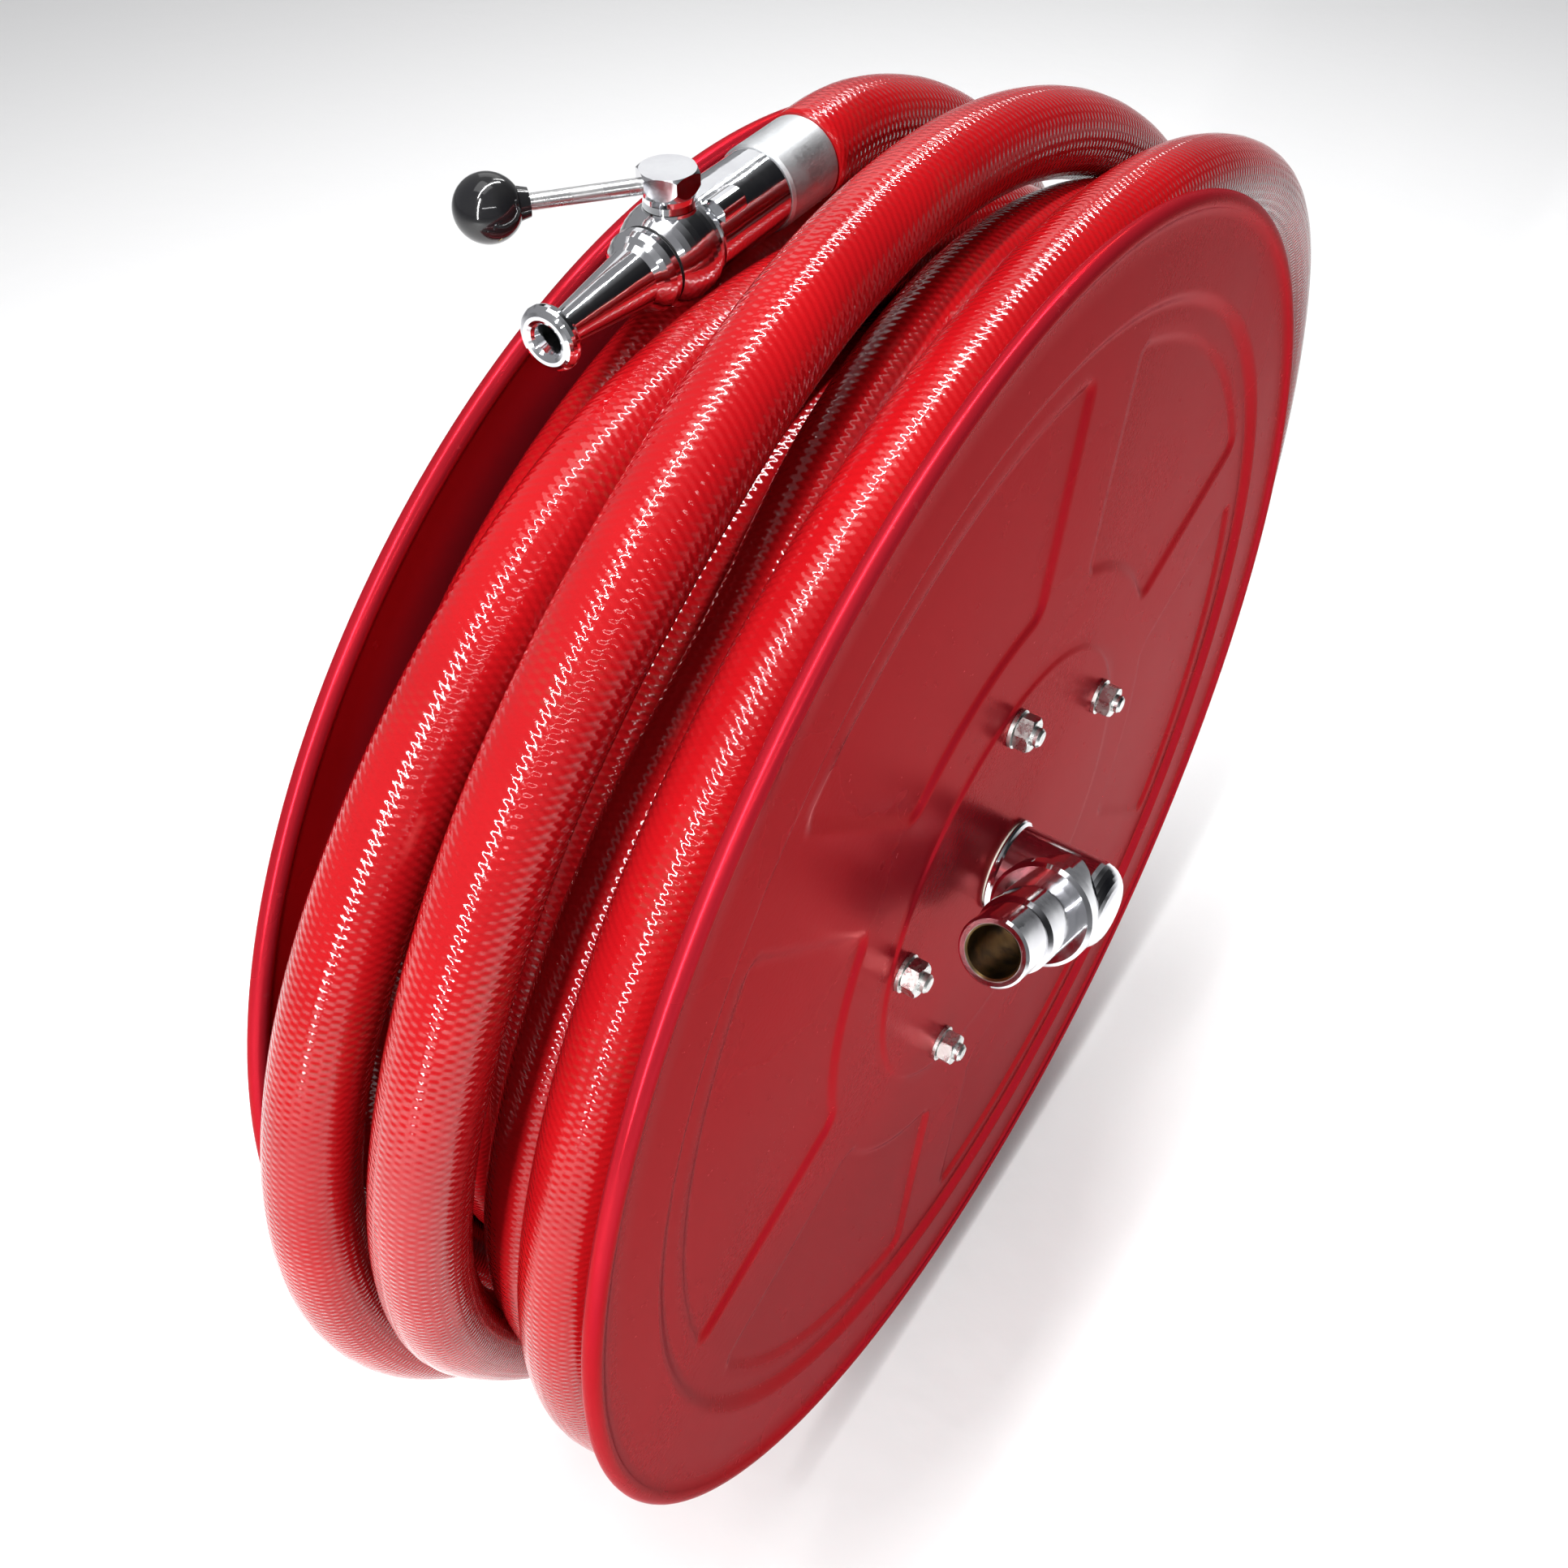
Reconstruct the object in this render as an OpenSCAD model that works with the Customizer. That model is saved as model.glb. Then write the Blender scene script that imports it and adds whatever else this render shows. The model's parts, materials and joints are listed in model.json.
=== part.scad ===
// Fire hose reel: two pressed discs on a drum core, turning on a fixed hollow spindle,
// with a wound hose that ends in a lever nozzle.
// The reel's axis lies along Y. The inlet elbow is on the -Y side. +Z is up.
// The origin is on the axis, in the stub that a wall bracket holds, on the +Y side.

/* [Reel] */
// Diameter over the rolled rims of the discs
disc_d = 560; // [556:1:572]
// Width over the two rims
reel_w = 147; // [146:0.5:148]
// Thickness of the pressed sheet
sheet = 1.2; // [1:0.1:1.4]
// Radius of the rolled rim's section
bead_r = 3.5; // [3:0.1:3.8]
// Outer diameter of the drum core
core_d = 224; // [220:1:224]

/* [Embossing] */
// Number of pressed panels round a disc
panels = 6; // [4:2:8]
// Inner radius of the panels
panel_ri = 130; // [125:1:140]
// Outer radius of the panels
panel_ro = 228; // [215:1:230]
// Width of the flat spoke between two panels
spoke_w = 38; // [30:1:44]
// Angle of the first spoke from the X axis
spoke_a = 18.5; // [0:0.5:60]

/* [Bolts] */
// Number of bolts in a disc
bolts = 5; // [4:1:6]
// Radius of the bolt circle
bolt_circle_r = 86.8; // [84:0.2:88]
// Angle of the first bolt from the X axis
bolt_a = 23; // [0:0.5:72]
// Nominal diameter of a bolt
bolt_d = 8; // [7:0.5:8]

/* [Hose] */
// Outer diameter of the hose
hose_d = 32; // [31:0.5:32]

/* [Inlet] */
// Angle of the elbow's arm from the X axis
arm_a = 152.5; // [0:0.5:360]
// Distance of the arm's axis beyond the rim plane
arm_out = 24; // [23:0.5:30]
// Distance of the pipe's mouth from the reel's axis
mouth_s = 79.5; // [72:0.5:90]
// Radius of the pipe's plain end
spigot_r = 14.25; // [14.2:0.05:15]
// Radius of the water passage in the inlet
inlet_bore_r = 10.5; // [9:0.5:10.5]

/* [Nozzle] */
// Angle between the lever and the nozzle's axis
lever_a = 40; // [0:1:90]
// Length of the lever from the stem to the middle of the knob
lever_len = 55.5; // [52:0.5:60]
// Radius of the ball knob
knob_r = 10.6; // [10:0.1:11]
// Radius of the nozzle's outlet
jet_r = 4; // [3:0.05:4.2]

/* [Hidden] */
$fn = 64;

// Small gap that keeps two pieces of one body apart
gap = 0.1;
// Radial clearance of a running fit
run = 0.06;
// Over-length of a cutting solid
cut = 1;
// Colours
crimson = "#8e2430";
hose_red = "#d81e28";
chrome = "#d4d6da";
zinc = "#b9bcbd";
brass = "#b5954a";
nylon = "#e9e6da";
rubber = "#1b1b1c";
aluminium = "#a9acae";

// Distance from the reel's middle to the origin in the spindle's stub
held_y = 100;

// Stations along the reel's axis, measured outward from the middle
rim_z = reel_w / 2;
hub_z = rim_z - 4.7;
web_z = rim_z - 5.5;
flare_z = rim_z - 2.5;
panel_z = rim_z - 7.7;
plate_t = 3;
plate_z = hub_z - sheet - gap;
flange_t = 2;
flange_z = plate_z - plate_t - gap;
boss_in_z = plate_z - plate_t - 4.5;
bush_out_z = hub_z + 0.6;

// Radii of a disc's pressing
disc_r = disc_d / 2;
disc_bore_r = 19.4;
hub_r = 96;
step_in_r = panel_ro + 8;
step_out_r = step_in_r + 8;
bead_mid_r = disc_r - bead_r;

// Hub
shaft_r = 15;
shaft_bore_r = 10;
bush_r = 18.8;
boss_r = 23;
plate_r = 95;
core_r = core_d / 2;
core_t = 2;
core_flange_r = 78;

// Outlet to the hose
outlet_y = 44;
outlet_a = 260;
outlet_r = 131;
outlet_x = outlet_r * cos(outlet_a);
outlet_h = outlet_r * sin(outlet_a);
pipe_r = 11;
pipe_bore_r = 8.5;

// Inlet
arm_z = rim_z + arm_out;
collar_r = 21.6;
collar_s = [23, 31.6];
trunk_r = 19;

// Fasteners
nut_flats = bolt_d * 13 / 8;
nut_h = bolt_d * 0.8;
head_h = bolt_d * 0.67;
washer_t = 1.5;
hex = 6;

// Hose
hose_r = hose_d / 2;
hose_sides = 12;
coil_half_w = 63.5;
// The hose's way out of the outlet elbow and once round the core, by points on its axis
lead_points = [[-10, 44, -129], [24, 44, -129], [62, 44, -117], [101, 44, -85],
    [126, 44, -41], [132, 44, 9], [119, 44, 58], [88, 41, 98], [45, 37, 124], [-5, 32, 132],
    [-54, 26, 120], [-95, 20, 92], [-122, 14, 50]];
// The hose's last stretch, off the winding and over the top into the ferrule
end_points = [[-103, 22, 254], [-170, 26, 219], [-225, 31, 166], [-263, 37, 99], [-281, 42, 24],
    [-277, 46, -54], [-251, 49, -127], [-206, 50, -190], [-146, 50, -238], [-76, 50, -267],
    [0, 50, -276], [75, 50, -265], [143, 50, -233], [200, 50, -184], [241, 50, -121],
    [262, 50, -51], [264, 50, 22], [247, 50, 93], [214, 50, 158], [166, 50, 213],
    [107, 50, 252], [43.4, 49.8, 272.4], [21.8, 49.4, 272.4]];

// Nozzle, in its own frame: the origin at the valve ball, +X towards the tip, +Z along the stem
nozzle_at = [-54.6, 48.1, 272.4];
nozzle_a = 181;
ferrule_x = [-76, -48];
ball_r = 9.6;
ball_bore_r = 5.6;
chamber_r = 10;
seat_x = [6.6, 9.9];
stem_r = 3.2;
body_end_x = 11.8;
lever_z = 23;
rod_r = 2.6;
neck_r = 8.5;
hub_bottom_z = 16;
hub_top_z = 27.8;
hub_flats = 17.8;

// Places a piece drawn about the reel's middle
module at_middle() {
    translate([0, -held_y, 0]) children();
}

// Places a piece drawn about Z on the reel's axis, +Z turning into -Y, the inlet side
module on_axis() {
    at_middle() rotate([90, 0, 0]) children();
}

// Mirrors a near-side piece to the far side
module far_side() {
    mirror([0, 0, 1]) children();
}

// Repeats a child at each bolt
module at_bolts() {
    for (k = [0 : bolts - 1]) {
        rotate(bolt_a + k * 360 / bolts) translate([bolt_circle_r, 0, 0]) children();
    }
}

// Turns +X into the direction of the elbow's arm, with +Z along the arm
module along_arm() {
    translate([0, 0, arm_z]) rotate([0, 90, arm_a]) children();
}

// Places a piece drawn in the nozzle's own frame
module at_nozzle() {
    at_middle() translate(nozzle_at) rotate(nozzle_a) children();
}

// Solid of revolution about the nozzle's axis from [x, r] points
module about_nozzle(points) {
    rotate([0, 90, 0]) rotate_extrude() polygon([for (p = points) [p[1], p[0]]]);
}

// Tube between two stations of Z
module tube(r_out, r_in, z0, z1) {
    difference() {
        translate([0, 0, z0]) cylinder(r = r_out, h = z1 - z0);
        translate([0, 0, z0 - cut]) cylinder(r = r_in, h = z1 - z0 + 2 * cut);
    }
}

// Hexagon bar with both ends chamfered
module hex_bar(flats, h, chamfer) {
    corner_r = flats / 2 / cos(30);
    intersection() {
        linear_extrude(h) circle(r = corner_r, $fn = hex);
        rotate_extrude() polygon([[0, 0], [flats / 2, 0], [corner_r + 0.1, chamfer],
            [corner_r + 0.1, h - chamfer], [flats / 2, h], [0, h]]);
    }
}

// Points on an arc
function arc(cx, cy, r, a0, a1, n) =
    [for (i = [0 : n]) let (a = a0 + (a1 - a0) * i / n) [cx + r * cos(a), cy + r * sin(a)]];

// Unit vector
function unit(v) = v / norm(v);

// Direction of a route at one of its points
function heading(p, i) =
    i == 0 ? unit(p[1] - p[0])
    : i == len(p) - 1 ? unit(p[i] - p[i - 1])
    : unit(unit(p[i] - p[i - 1]) + unit(p[i + 1] - p[i]));

// Ring of points about a route's point, one side of it facing along Y
function ring(p, i, r, n) =
    let (t = heading(p, i), u = unit([0, 1, 0] - t * t[1]), v = cross(t, u))
    [for (k = [0 : n - 1]) let (a = 360 * k / n) p[i] + r * (cos(a) * u + sin(a) * v)];

// Tube swept along a route
module swept_tube(p, r, n) {
    last = len(p) - 1;
    points = [for (i = [0 : last]) each ring(p, i, r, n)];
    sides = [for (i = [0 : last - 1], k = [0 : n - 1])
        [i * n + k, (i + 1) * n + k, (i + 1) * n + (k + 1) % n, i * n + (k + 1) % n]];
    start = [[for (k = [0 : n - 1]) k]];
    end = [[for (k = [n - 1 : -1 : 0]) last * n + k]];
    polyhedron(points = points, faces = concat(sides, start, end), convexity = 6);
}

// Outline of the six panels, shrunk by a margin
module panel_outline(margin) {
    difference() {
        circle(r = panel_ro - margin);
        circle(r = panel_ri + margin);
        for (k = [0 : panels / 2 - 1]) {
            rotate(spoke_a + k * 360 / panels) square([disc_d, spoke_w + 2 * margin], center = true);
        }
    }
}

// Pressed disc: hub, web, six sunk panels, flared rim zone and rolled rim
module pressed_disc() {
    face = [[disc_bore_r, hub_z], [hub_r, hub_z], [hub_r + 2, web_z], [step_in_r, web_z],
        [step_out_r, flare_z], [bead_mid_r - 2, flare_z]];
    back = [for (i = [len(face) - 1 : -1 : 0]) [face[i][0], face[i][1] - sheet]];
    difference() {
        union() {
            rotate_extrude($fn = 160) polygon(concat(face, back));
            rotate_extrude($fn = 160) translate([bead_mid_r, rim_z - bead_r]) circle(r = bead_r, $fn = 32);
            translate([0, 0, panel_z - sheet]) linear_extrude(web_z - panel_z + sheet) panel_outline(0);
        }
        translate([0, 0, panel_z]) linear_extrude(web_z - panel_z + cut) panel_outline(sheet);
        at_bolts() cylinder(r = bolt_d / 2 + 0.3, h = 2 * rim_z);
    }
}

// Plate behind a disc, with the housing of the bush
module hub_plate(screw_holes) {
    difference() {
        union() {
            tube(plate_r, bush_r + gap, plate_z - plate_t, plate_z);
            tube(boss_r, bush_r + gap, boss_in_z, plate_z - plate_t + cut / 2);
        }
        at_bolts() cylinder(r = bolt_d / 2 + 0.3, h = 2 * rim_z);
        if (screw_holes) {
            at_hub_screws() cylinder(r = 2.6, h = 2 * rim_z);
        }
    }
}

// Plain bearing in a hub plate
module bush() {
    tube(bush_r, shaft_r + run, boss_in_z, bush_out_z);
}

// Bolts of one disc: head inside the core's flange, thread end outside
module disc_bolts() {
    head_z = flange_z - flange_t - gap - head_h;
    thread_end_z = hub_z + gap + washer_t + nut_h + 3.2;
    at_bolts() union() {
        translate([0, 0, head_z]) hex_bar(nut_flats, head_h, 0.8);
        translate([0, 0, head_z]) rotate_extrude() polygon([[0, 1], [bolt_d / 2 - gap, 1],
            [bolt_d / 2 - gap, thread_end_z - head_z - 1], [bolt_d / 2 - 1, thread_end_z - head_z],
            [0, thread_end_z - head_z]]);
    }
}

module disc_washers() {
    at_bolts() tube(bolt_d, bolt_d / 2 + 0.2, hub_z + gap, hub_z + gap + washer_t);
}

module disc_nuts() {
    nut_z = hub_z + washer_t + 2 * gap;
    at_bolts() difference() {
        translate([0, 0, nut_z]) hex_bar(nut_flats, nut_h, 0.9);
        translate([0, 0, nut_z - cut]) cylinder(r = bolt_d / 2, h = nut_h + 2 * cut);
    }
}

// Three screws of the waterway hub, on the far side
module at_hub_screws() {
    for (a = [90, 210, 330]) {
        rotate(a) translate([31.5, 0, 0]) children();
    }
}

// Fixed pieces

module inlet_elbow() {
    trunk = concat([[0, 69.9], [20.3, 69.9], [20.8, 70.6], [20.3, 71.6], [trunk_r, 72.4]],
        arc(trunk_r - 11, arm_z + 9.5, 11, 0, 80, 8), [[0, arm_z + 20.6]]);
    color(chrome) on_axis() difference() {
        union() {
            rotate_extrude() polygon(trunk);
            along_arm() cylinder(r = trunk_r - 0.4, h = collar_s[0] + 1);
            along_arm() rotate_extrude() polygon([[0, collar_s[0] - 1], [collar_r - 2, collar_s[0] - 1],
                [collar_r, collar_s[0] + 1], [collar_r, collar_s[1] - 1.6],
                [collar_r - 1.6, collar_s[1]], [0, collar_s[1]]]);
        }
        translate([0, 0, 60]) cylinder(r = shaft_r + gap / 2, h = 28.2);
        translate([0, 0, 80]) cylinder(r = inlet_bore_r, h = arm_z - 80);
        along_arm() translate([0, 0, -inlet_bore_r / 2]) cylinder(r = inlet_bore_r, h = 60);
        along_arm() translate([0, 0, 20]) cylinder(r = 14.1, h = 40);
    }
}

module inlet_nipple() {
    color(chrome) on_axis() along_arm() rotate_extrude() polygon([
        [inlet_bore_r, 20.2], [14, 20.2], [14, collar_s[1] + 0.1], [15.75, collar_s[1] + 0.1],
        [15.75, 57.5], [spigot_r, 59.5], [spigot_r, mouth_s - 1], [spigot_r - 1, mouth_s],
        [inlet_bore_r + 0.8, mouth_s], [inlet_bore_r, mouth_s - 0.8]]);
}

module spindle() {
    stub_end_z = -(arm_z + collar_r);
    color(brass) on_axis() difference() {
        rotate_extrude() polygon([[0, 88], [shaft_r - 0.8, 88], [shaft_r, 87.2],
            [shaft_r, -31.7], [12.4, -31.7], [12.4, -35.3], [shaft_r, -35.3],
            [shaft_r, -52.7], [12.4, -52.7], [12.4, -56.3], [shaft_r, -56.3],
            [shaft_r, -71.3], [13.6, -71.3], [13.6, -73], [shaft_r, -73],
            [shaft_r, -77.5], [12, -79], [12, stub_end_z + 1.5], [10.5, stub_end_z], [0, stub_end_z]]);
        translate([0, 0, -62]) cylinder(r = shaft_bore_r, h = 160);
        for (a = [0, 90]) {
            translate([0, 0, -outlet_y]) rotate([90, 0, a]) cylinder(r = 5, h = 2 * shaft_r + 2, center = true);
        }
    }
}

module spindle_o_rings() {
    color(rubber) on_axis() for (z = [-33.5, -54.5]) {
        translate([0, 0, z]) rotate_extrude() translate([13.75, 0]) circle(r = 1.25, $fn = 24);
    }
}

module far_thrust_washer() {
    color(nylon) on_axis() tube(22, shaft_r + gap, -(bush_out_z + 1.7), -(bush_out_z + 0.3));
}

module retaining_ring() {
    color(zinc) on_axis() difference() {
        tube(18.5, 13.65, -72.9, -71.4);
        rotate(45) translate([16, 0, -72]) cube([8, 5, 6], center = true);
    }
}

// Pieces that turn with the reel

module near_disc() {
    color(crimson) on_axis() pressed_disc();
}

module far_disc() {
    color(crimson) on_axis() far_side() pressed_disc();
}

module drum_core() {
    core_z = web_z - sheet - 2 * gap;
    color(crimson) on_axis() difference() {
        union() {
            tube(core_r, core_r - core_t, -core_z, core_z);
            tube(core_r - core_t / 2, core_flange_r, flange_z - flange_t, flange_z);
            far_side() tube(core_r - core_t / 2, core_flange_r, flange_z - flange_t, flange_z);
        }
        translate([0, 0, -rim_z]) at_bolts() cylinder(r = bolt_d / 2 + 0.3, h = 2 * rim_z);
        translate([0, 0, -outlet_y]) rotate([0, 90, outlet_a]) cylinder(r = pipe_r + 2, h = 2 * core_r);
    }
}

module near_hub_plate() {
    color(zinc) on_axis() hub_plate(false);
}

module far_hub_plate() {
    color(zinc) on_axis() far_side() hub_plate(true);
}

module near_bush() {
    color(nylon) on_axis() bush();
}

module far_bush() {
    color(nylon) on_axis() far_side() bush();
}

module waterway_hub() {
    foot_z = -(plate_z - plate_t - gap);
    face_z = -(boss_in_z - 0.2);
    color(brass) on_axis() difference() {
        union() {
            rotate_extrude() polygon([[shaft_r + run, face_z], [boss_r + 0.2, face_z], [boss_r + 0.2, foot_z],
                [36, foot_z], [36, foot_z + 4], [26.4, foot_z + 4], [25.5, foot_z + 6], [25.5, -26],
                [shaft_r + run, -26],
                [shaft_r + run, -38], [19, -39], [19, -49], [shaft_r + run, -50]]);
            translate([0, 0, -outlet_y]) rotate([0, 90, outlet_a]) tube(15, pipe_bore_r, 22, 42);
        }
        translate([0, 0, -outlet_y]) rotate([0, 90, outlet_a]) cylinder(r = pipe_bore_r, h = 42);
        translate([0, 0, -outlet_y]) rotate([0, 90, outlet_a]) translate([0, 0, 30]) cylinder(r = pipe_r + gap, h = 20);
        far_side() at_hub_screws() cylinder(r = 2.6, h = 2 * rim_z);
    }
}

module hub_screws() {
    head_z = plate_z - plate_t - 4 - 2 * gap - 4;
    color(zinc) on_axis() far_side() at_hub_screws() union() {
        translate([0, 0, head_z]) hex_bar(8, 4, 0.5);
        translate([0, 0, head_z + 1]) cylinder(r = 2.5, h = plate_z - head_z - 1 - gap);
    }
}

module outlet_elbow() {
    // Points of the barbed tail, [radius, distance from the corner]
    tail = [[0, 4], [pipe_r, 4], [pipe_r, 10], [14, 10], [14, 13], [11.6, 13.4], [12.4, 19],
        [11.6, 19.2], [12.4, 25], [11.6, 25.2], [12.4, 31], [11.6, 31.2], [12.4, 37], [11, 39], [0, 39]];
    past = 3;
    corner_h = 26;
    color(brass) on_axis() translate([0, 0, -outlet_y]) difference() {
        union() {
            rotate([0, 90, outlet_a]) translate([0, 0, 30.2]) cylinder(r = pipe_r, h = outlet_r - 32);
            translate([outlet_x, outlet_h, -corner_h / 2]) cylinder(r = 13.5, h = corner_h);
            translate([outlet_x, outlet_h, 0]) rotate([0, 90, 0]) rotate_extrude() polygon(tail);
        }
        rotate([0, 90, outlet_a]) translate([0, 0, 25]) cylinder(r = pipe_bore_r, h = outlet_r - 25 + past);
        translate([outlet_x - past, outlet_h, 0]) rotate([0, 90, 0]) cylinder(r = pipe_bore_r - 0.3, h = 60);
    }
}

module hose_clamp() {
    band_w = 12;
    band_r = hose_r + 1.2;
    color(zinc) at_middle() translate([6, outlet_y, outlet_h]) rotate([0, 90, 0]) difference() {
        union() {
            cylinder(r = band_r, h = band_w);
            // Crimped ear
            translate([0, band_r + 0.3, band_w / 2]) cube([7, 4.6, band_w], center = true);
        }
        translate([0, 0, -cut]) cylinder(r = hose_r + gap, h = band_w + 2 * cut);
        translate([0, band_r + 0.6, -cut]) cylinder(r = 1.1, h = band_w + 2 * cut);
    }
}

module near_bolts() {
    color(zinc) on_axis() disc_bolts();
}

module near_washers() {
    color(zinc) on_axis() disc_washers();
}

module near_nuts() {
    color(zinc) on_axis() disc_nuts();
}

module far_bolts() {
    color(zinc) on_axis() far_side() disc_bolts();
}

module far_washers() {
    color(zinc) on_axis() far_side() disc_washers();
}

module far_nuts() {
    color(zinc) on_axis() far_side() disc_nuts();
}

// Hose

module hose_lead() {
    color(hose_red) at_middle() swept_tube(lead_points, hose_r, hose_sides);
}

module hose_coil() {
    // Each point is [radius, distance towards the inlet side]; the far side leaves room
    // for the first turn next to the core and for the last one on the outside
    pocket = 25;
    last_turn = 30;
    color(hose_red) on_axis() rotate_extrude($fn = 160) polygon([
        [core_r + 0.6, coil_half_w], [core_r + 0.6, -pocket], [158, -pocket], [158, -coil_half_w],
        [250, -coil_half_w], [250, -last_turn], [284, -last_turn], [291, -last_turn + 6],
        [291, -10], [302, -4], [302, 24], [274, 30], [274, 36], [285, 40], [285, coil_half_w - 6],
        [278, coil_half_w]]);
}

module hose_end() {
    color(hose_red) at_middle() swept_tube(end_points, hose_r, hose_sides);
}

// Pieces on the hose

module ferrule() {
    color(aluminium) at_nozzle() about_nozzle([[ferrule_x[0], 12.9], [ferrule_x[0], 15],
        [ferrule_x[0] + 0.6, 15.4], [ferrule_x[1] - 1.2, 15.4], [ferrule_x[1] - gap, 14.7],
        [ferrule_x[1] - gap, 12.9]]);
}

module nozzle_body() {
    // Points of the barbed tail, then of the barrel and of the valve's bulge
    tail = [[-72, 0], [-72, 11.6], [-66, 12.4], [-66, 11.6], [-60, 12.4], [-60, 11.6],
        [-54, 12.4], [-54, 11.8], [ferrule_x[1], 11.8], [ferrule_x[1], 14], [ferrule_x[1] + 0.8, 14.5],
        [-10, 14.5]];
    bulge = arc(0, -1.9, 19.1, 121, 52.2, 10);
    boss_top_z = hub_bottom_z - 0.3;
    color(chrome) at_nozzle() difference() {
        union() {
            about_nozzle(concat(tail, bulge, [[body_end_x, 0]]));
            // Flared boss of the lever, flat on the tip's side
            difference() {
                rotate_extrude() polygon([[0, 2], [16, 2], [13.4, 6], [11.2, 9.5], [9.5, 12.6],
                    [neck_r, boss_top_z], [0, boss_top_z]]);
                translate([body_end_x, -20, 0]) cube([10, 40, 20]);
            }
            // Lug that stops the lever
            translate([-24, 7.5, 9]) rotate([0, 90, 0]) cylinder(r = 5, h = 12);
        }
        about_nozzle([[-80, 0], [-80, 7.5], [-seat_x[1], 7.5], [-seat_x[1], chamber_r], [20, chamber_r], [20, 0]]);
        translate([0, 0, boss_top_z]) cylinder(r = 12, h = 10);
        cylinder(r = stem_r + run, h = 30);
        translate([0, 0, 12.6]) cylinder(r = stem_r + 2.4, h = 10);
    }
}

module nozzle_tip() {
    lip = arc(61, 7.5, 3, 215, -60, 12);
    cap_x = body_end_x + 1;
    color(chrome) at_nozzle() about_nozzle(concat([[seat_x[1] + gap, 6.4], [seat_x[1] + gap, chamber_r - gap],
        [cap_x, chamber_r - gap], [cap_x, 13], [cap_x + 0.7, 13.5], [cap_x + 3, 13.4], [cap_x + 5, 12.4],
        [cap_x + 6.5, 11], [cap_x + 8.6, 9.6], [57.6, 4.9]], lip, [[60, jet_r], [50, jet_r], [22, 6.4]]));
}

module tip_gasket() {
    color(rubber) at_nozzle() about_nozzle([[body_end_x + gap, chamber_r], [body_end_x + gap, 12.4],
        [body_end_x + 1 - gap, 12.4], [body_end_x + 1 - gap, chamber_r]]);
}

module ball_seats() {
    seat_ri = 6.2;
    r = ball_r + run;
    cup = arc(0, 0, r, acos(seat_x[0] / r), asin(seat_ri / r), 4);
    color(nylon) at_nozzle() for (turn = [0, 180]) {
        rotate(turn) about_nozzle(concat(cup, [[seat_x[1] - gap, seat_ri],
            [seat_x[1] - gap, chamber_r - gap], [seat_x[0], chamber_r - gap]]));
    }
}

module stem_seal() {
    color(rubber) at_nozzle() translate([0, 0, 14.2]) rotate_extrude()
        translate([stem_r + run + 1.15, 0]) circle(r = 1.1, $fn = 24);
}

module valve_ball() {
    color(brass) at_nozzle() rotate(-lever_a) difference() {
        sphere(r = ball_r);
        rotate([0, 90, 0]) cylinder(r = ball_bore_r, h = 3 * ball_r, center = true);
        translate([0, 0, 6.8]) cylinder(r = stem_r + 0.05, h = ball_r);
    }
}

module valve_stem() {
    color(zinc) at_nozzle() translate([0, 0, 7.2]) cylinder(r = stem_r, h = 16.4);
}

module lever_hub() {
    corner_r = hub_flats / 2 / cos(30);
    hub_h = hub_top_z - hub_bottom_z;
    color(chrome) at_nozzle() rotate(-lever_a) difference() {
        intersection() {
            translate([0, 0, hub_bottom_z]) linear_extrude(hub_h) rotate(30) circle(r = corner_r, $fn = hex);
            translate([0, 0, hub_bottom_z]) rotate_extrude() polygon([[0, 0], [neck_r, 0], [neck_r - 0.3, 2],
                [neck_r + 0.1, 4], [corner_r + 0.1, 7.4], [corner_r + 0.1, hub_h - 1], [9, hub_h], [0, hub_h]]);
        }
        translate([0, 0, hub_bottom_z - cut]) cylinder(r = stem_r + 0.05, h = 9);
        translate([5, 0, lever_z]) rotate([0, 90, 0]) cylinder(r = rod_r + 0.05, h = 20);
    }
}

module lever_rod() {
    color(zinc) at_nozzle() rotate(-lever_a) translate([5.4, 0, lever_z]) rotate([0, 90, 0])
        cylinder(r = rod_r, h = lever_len - 9.4);
}

module ball_knob() {
    neck_x = lever_len - knob_r - 1.8;
    color(rubber) at_nozzle() rotate(-lever_a) difference() {
        union() {
            translate([lever_len, 0, lever_z]) sphere(r = knob_r);
            translate([neck_x, 0, lever_z]) rotate([0, 90, 0]) cylinder(r1 = 4.4, r2 = 6, h = 6);
        }
        translate([0, 0, lever_z]) rotate([0, 90, 0]) cylinder(r = rod_r + 0.05, h = lever_len - 3.9);
    }
}

inlet_elbow();
inlet_nipple();
spindle();
spindle_o_rings();
far_thrust_washer();
retaining_ring();
near_disc();
far_disc();
drum_core();
near_hub_plate();
far_hub_plate();
near_bush();
far_bush();
waterway_hub();
hub_screws();
outlet_elbow();
hose_clamp();
near_bolts();
near_washers();
near_nuts();
far_bolts();
far_washers();
far_nuts();
hose_lead();
hose_coil();
hose_end();
ferrule();
nozzle_body();
nozzle_tip();
tip_gasket();
ball_seats();
stem_seal();
valve_ball();
valve_stem();
lever_hub();
lever_rod();
ball_knob();
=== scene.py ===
"""Fire hose reel: looks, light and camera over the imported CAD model. Units are metres."""
import json
import math

import bmesh
import bpy
from mathutils import Matrix, Vector

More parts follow.
